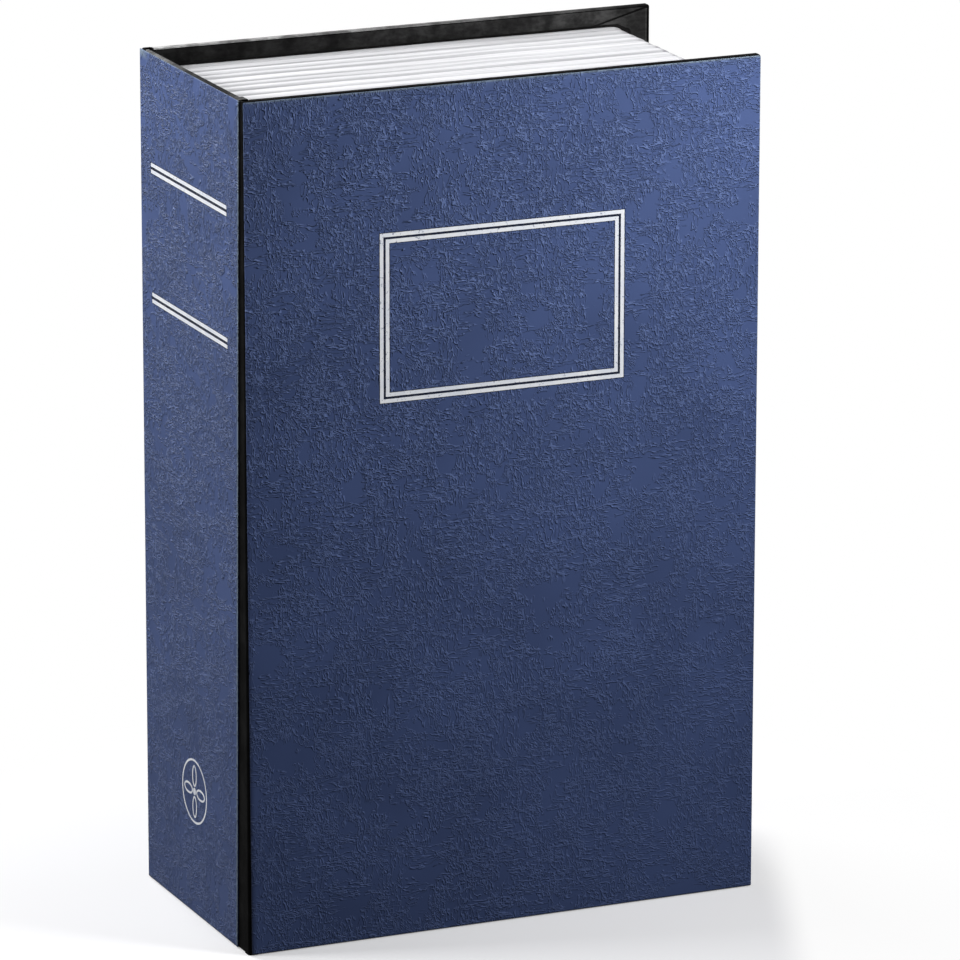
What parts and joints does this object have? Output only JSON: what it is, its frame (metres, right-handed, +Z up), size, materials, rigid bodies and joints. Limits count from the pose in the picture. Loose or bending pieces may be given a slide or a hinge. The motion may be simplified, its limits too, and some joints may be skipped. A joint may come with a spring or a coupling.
{
  "type": "book diversion safe",
  "caption": "Small hardback-book-shaped safe with a hinged front cover over a moulded page block, a steel box, a hinged steel lid and a keyed cam lock.",
  "frame": {"origin": "centre of the closed book's footprint, on the surface it stands on", "axes": "+Z up along the spine, from tail to head; the front cover faces -Y; the spine faces -X and the fore-edge +X"},
  "size_m": [0.115, 0.057, 0.18],
  "materials": {
    "leatherette": "blue embossed leatherette, satin",
    "black_cloth": "black coated book cloth, turned in round the boards",
    "greyboard": "raw board",
    "lining_paper": "black endpaper, matt",
    "page_plastic": "white moulded, ridged like pages",
    "box_paint": "dark grey powder coat",
    "plated_steel": "bright zinc plate",
    "lock_chrome": "polished nickel chrome",
    "wafer_brass": "stamped"
  },
  "bodies": {
    "case": {"back_panel": "leatherette", "back_wrap": "black_cloth", "back_board": "greyboard", "back_lining": "lining_paper", "spine_panel": "leatherette", "spine_wrap": "black_cloth", "spine_board": "greyboard", "front_hinge_cloth": "black_cloth", "back_hinge_cloth": "black_cloth", "page_block": "page_plastic", "safe_box": "box_paint", "cam_strike": "plated_steel", "box_screw_1": "plated_steel", "box_screw_2": "plated_steel", "box_screw_3": "plated_steel", "box_screw_4": "plated_steel", "hinge_leaf_box": "plated_steel", "hinge_pin": "plated_steel"},
    "front_cover": {"front_panel": "leatherette", "front_wrap": "black_cloth", "front_board": "greyboard", "front_lining": "lining_paper"},
    "lid": {"lid_plate": "box_paint", "hinge_leaf_lid": "plated_steel", "lid_rivet_1": "plated_steel", "lid_rivet_2": "plated_steel", "lid_rivet_3": "plated_steel", "lid_rivet_4": "plated_steel", "lock_body": "lock_chrome", "lock_washer": "plated_steel", "lock_nut": "plated_steel"},
    "lock": {"lock_plug": "lock_chrome", "lock_wafer_1": "wafer_brass", "lock_wafer_2": "wafer_brass", "lock_wafer_3": "wafer_brass", "lock_wafer_4": "wafer_brass", "lock_wafer_5": "wafer_brass", "lock_cam": "plated_steel", "cam_washer": "plated_steel", "cam_screw": "plated_steel"}
  },
  "joints": [
    {"name": "front_cover_hinge", "type": "hinge", "parent": "case", "child": "front_cover", "pos_m": [-0.0569, -0.0279, 0.09], "axis": [0, 0, -1], "range_deg": [0, 178], "deforming": ["front_hinge_cloth"]},
    {"name": "lid_hinge", "type": "hinge", "parent": "case", "child": "lid", "pos_m": [-0.0485, -0.02355, 0.09], "axis": [0, 0, -1], "range_deg": [0, 108]},
    {"name": "lock_turn", "type": "hinge", "parent": "lid", "child": "lock", "pos_m": [0.0265, -0.02425, 0.09], "axis": [0, -1, 0], "range_deg": [0, 90]}
  ],
  "couplings": [
    {"joint": "lid_hinge", "follows": "front_cover_hinge", "ratio": 0.6}
  ]
}
